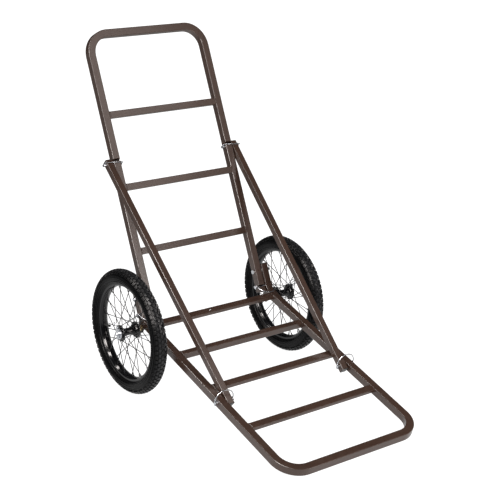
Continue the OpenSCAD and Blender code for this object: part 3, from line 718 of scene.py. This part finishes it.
def weld_rung(shell, node, place, normal_axis, inner_x, edges=(UNDER, BEHIND, ON_TOP, IN_FRONT)):
    """Beads around both ends of one rung. normal_axis is the frame axis square to its face."""
    along_axis = 3 - normal_axis
    middle, size = middle_and_size(node)
    local = place.inverted() @ middle
    thick = abs(local[normal_axis])
    tilt = place.to_3x3() @ Vector([1 if i == along_axis else 0 for i in range(3)])
    share_y, share_z = abs(tilt.y), abs(tilt.z)
    if share_y > 0.5:
        wide = (size.y - 2 * thick * share_z) / (2 * share_y)
    else:
        wide = (size.z - 2 * thick * share_y) / (2 * share_z)
    for sign in (-1, 1):
        x = sign * inner_x
        corners = []
        for s_along, s_norm in ((-1, -1), (1, -1), (1, 1), (-1, 1)):
            corner_point = [x - sign * 0.3 * MM, 0, 0]
            corner_point[along_axis] = local[along_axis] + s_along * wide
            corner_point[normal_axis] = local[normal_axis] + s_norm * thick
            corners.append(corner_point)
        for edge in edges:
            start, end = corners[edge], corners[(edge + 1) % 4]
            out = [-sign * 0.7, 0, 0]
            for axis in (along_axis, normal_axis):
                out[axis] = (start[axis] + end[axis]) / 2 - local[axis]
            weld_line(shell, place, start, end, Vector(out).normalized())


def build_welds():
    rail_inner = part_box("deck_rung_1")[1].x
    leg_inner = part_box("handle_rung_1")[1].x
    deck = Shell()
    # The left foot bail swings over the top of rung 1, so that edge has no bead
    weld_rung(deck, "deck_rung_1", deck_frame, 2, rail_inner, (UNDER, BEHIND, IN_FRONT))
    for i in (2, 3, 4):
        weld_rung(deck, f"deck_rung_{i}", deck_frame, 2, rail_inner)
    new_piece("deck_welds", deck.verts, deck.faces, "frame_paint", "deck")
    handle = Shell()
    for i in (1, 2, 3):
        weld_rung(handle, f"handle_rung_{i}", handle_frame, 1, leg_inner)
    new_piece("handle_welds", handle.verts, handle.faces, "frame_paint", "handle")


def build_bend_wrinkles():
    """Low ripples pressed into the inside of both rear bends."""
    back = deck_frame.to_3x3() @ Vector((0, 1, 0))
    up = handle_frame.to_3x3() @ Vector((0, 0, 1))
    turn = back.angle(up)
    run = REAR_BEND * math.tan(turn / 2)
    rail_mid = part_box("deck_rail")[1].x - TUBE / 2
    shell = Shell()
    for sign in (-1, 1):
        for wrinkle in range(WRINKLES):
            angle = turn * (wrinkle + 0.7) / (WRINKLES + 0.4)
            half = (TUBE / 2 - TUBE_EDGE) * (0.92 if wrinkle % 2 else 0.8)
            points, radii = [], []
            for i in range(WRINKLE_STEPS + 1):
                share = 2 * i / WRINKLE_STEPS - 1
                reach = REAR_BEND + 0.6 * MM
                local = Vector((sign * rail_mid + share * half,
                                reach * math.sin(angle) - run,
                                REAR_BEND - reach * math.cos(angle)))
                points.append(deck_frame @ local)
                radii.append(WRINKLE_R * math.sqrt(max(0.02, 1 - share ** 4)))
            toward = deck_frame.to_3x3() @ Vector((0, -math.sin(angle), math.cos(angle)))
            shell.add(*sweep(points, radii, 10, 0.8, toward))
    new_piece("bend_wrinkles", shell.verts, shell.faces, "frame_paint", "deck")


# ---- Studio ----

LIGHT_AWAY = 3.2
LIGHT_TINT = (1.0, 0.94, 0.91)
LIGHT_AIM = Vector((0, 0, 0.45))
# Camera: place in metres, turn from +Y towards +X, tilt downwards and roll in degrees, lens in mm
CAMERA_PLACE = (-2.219, -2.9307, 1.721)
CAMERA_TURNS = (36.621, 18.762, 1.279)
CAMERA_LENS = 89.33
CAMERA_SHIFT = (0.0361, -0.0034)


def add_area_light(name, heading, along, size, radiance):
    """A soft light in one direction from the cart's middle, its long side laid along a vector."""
    back = Vector(heading).normalized()
    long_side = Vector(along) - back * Vector(along).dot(back)
    long_side.normalize()
    data = bpy.data.lights.new(name, "AREA")
    data.shape = "RECTANGLE"
    data.size, data.size_y = size
    data.energy = radiance * math.pi * size[0] * size[1]
    data.color = LIGHT_TINT
    light = bpy.data.objects.new(name, data)
    turn = Matrix((long_side, back.cross(long_side), back)).transposed().to_4x4()
    light.matrix_world = Matrix.Translation(LIGHT_AIM + back * LIGHT_AWAY) @ turn
    bpy.context.scene.collection.objects.link(light)
    return light


def build_studio():
    bpy.ops.mesh.primitive_grid_add(x_subdivisions=8, y_subdivisions=8, size=40,
                                    location=(0, 0, 0))
    floor = bpy.context.object
    floor.name = "floor"
    floor.data.materials.append(studio_floor())
    world = bpy.data.worlds.new("studio")
    sky = Recipe(world, "Background")
    sky.finish(Color=rgb(1.0, 1.0, 1.0), Strength=sky.by_ray(1.0, 0.04, 0.80))
    world.cycles.sampling_method = "NONE"
    bpy.context.scene.world = world
    add_area_light("key", (-0.6, -0.6, 0.55), (1, -1, 0), (1.2, 1.2), 4)
    # The softboxes are mirrored in the left of the handle, the strips in the rounded edges
    add_area_light("low_softbox", (0.40, -0.83, 0.30), (1, 0.6, 0), (0.65, 1.1), 9)
    add_area_light("high_softbox", (0.43, -0.60, 0.66), (1, 0.6, 0), (1.1, 1.3), 2.4)
    strips = (
        ("leg_strip", (-0.815, -0.439, 0.376), (0.55, -0.76, 0.35), (3.0, 0.7), 28),
        ("brace_strip", (-0.60, -0.24, 0.76), (0.97, -0.65, 0.70), (2.8, 0.45), 34),
        ("deck_strip", (-0.55, 0.43, 0.72), (0.72, -0.13, 0.46), (2.6, 0.4), 24),
    )
    for strip in strips:
        add_area_light(*strip).visible_diffuse = False


def build_camera():
    """Camera at the viewing angle of the reference: place, heading, tilt and roll."""
    heading, tilt, roll = (math.radians(a) for a in CAMERA_TURNS)
    ahead = Vector((math.sin(heading) * math.cos(tilt), math.cos(heading) * math.cos(tilt),
                    -math.sin(tilt)))
    right = Vector((math.cos(heading), -math.sin(heading), 0))
    up = right.cross(ahead)
    rolled_right = right * math.cos(roll) + up * math.sin(roll)
    rolled_up = up * math.cos(roll) - right * math.sin(roll)
    data = bpy.data.cameras.new("camera")
    data.sensor_width = 36
    data.lens = CAMERA_LENS
    data.shift_x, data.shift_y = CAMERA_SHIFT
    data.clip_start, data.clip_end = 0.1, 100
    camera = bpy.data.objects.new("camera", data)
    turn = Matrix((rolled_right, rolled_up, -ahead)).transposed().to_4x4()
    camera.matrix_world = Matrix.Translation(CAMERA_PLACE) @ turn
    bpy.context.scene.collection.objects.link(camera)
    bpy.context.scene.camera = camera


dress_cad_nodes()
build_wheels()
build_welds()
build_bend_wrinkles()
build_studio()
build_camera()
bpy.context.scene.view_settings.view_transform = "Standard"
